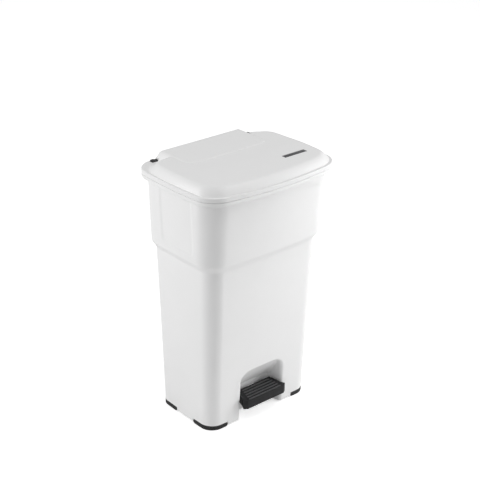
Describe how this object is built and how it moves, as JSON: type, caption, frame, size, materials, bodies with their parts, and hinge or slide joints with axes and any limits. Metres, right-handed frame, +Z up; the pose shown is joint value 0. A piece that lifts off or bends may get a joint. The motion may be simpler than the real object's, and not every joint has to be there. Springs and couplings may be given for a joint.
{
  "type": "pedal trash can",
  "caption": "Tall tapered plastic pedal bin with rounded corners, a wider top band, a hinged lid and a ribbed front pedal linked to the lid by a lever and lift rod.",
  "frame": {"origin": "on the floor, under the centre of the lid's outline", "axes": "+Z up; -Y towards the front, where the pedal is; +X to the right looking along +Y, from the front"},
  "size_m": [0.481, 0.365, 0.79],
  "materials": {
    "body_white": "fine matte moulding grain",
    "lid_white": "fine matte moulding grain",
    "ring_white": "smooth matte",
    "badge_dark": "satin, blank",
    "black_plastic": "matte",
    "tread_black": "matte, ribbed",
    "pad_rubber": "matte rubber",
    "steel": "zinc plated"
  },
  "bodies": {
    "root": {"bin_shell": "body_white", "corner_pad_fl": "pad_rubber", "corner_pad_fr": "pad_rubber", "corner_pad_bl": "pad_rubber", "corner_pad_br": "pad_rubber", "pad_screws": "steel", "axle_bracket": "steel", "bracket_screws": "steel", "pedal_axle": "steel", "axle_clips": "steel", "rod_guide_lower": "black_plastic", "rod_guide_upper": "black_plastic", "channel_cover": "body_white", "cover_screws": "steel", "hinge_block_left": "black_plastic", "hinge_block_right": "black_plastic", "hinge_screws": "steel", "hinge_pin_left": "steel", "hinge_pin_right": "steel", "hinge_cap_left": "black_plastic", "hinge_cap_right": "black_plastic", "liner_ring": "ring_white"},
    "lid": {"lid_shell": "lid_white", "badge_plate": "badge_dark", "lid_crank": "black_plastic", "crank_pin": "steel", "crank_screws": "steel"},
    "pedal": {"pedal_lever": "steel", "pedal_tread": "tread_black", "tread_screws": "steel", "lever_bush": "black_plastic", "rod_pin": "steel"},
    "rod": {"lift_rod": "steel", "rod_head": "black_plastic", "rod_foot": "black_plastic"}
  },
  "joints": [
    {"name": "lid_hinge", "type": "hinge", "parent": "root", "child": "lid", "pos_m": [0, 0.17, 0.763], "axis": [-1, 0, 0], "range_deg": [0, 75]},
    {"name": "pedal_pivot", "type": "hinge", "parent": "root", "child": "pedal", "pos_m": [0, 0.01, 0.034], "axis": [1, 0, 0], "range_deg": [0, 13.8]},
    {"name": "rod_slide", "type": "slide", "parent": "root", "child": "rod", "axis": [0, 0, 1], "range_m": [0, 0.0293]}
  ],
  "couplings": [
    {"joint": "pedal_pivot", "follows": "lid_hinge", "ratio": 0.184},
    {"joint": "rod_slide", "follows": "lid_hinge", "m_per_rad": 0.022323}
  ]
}
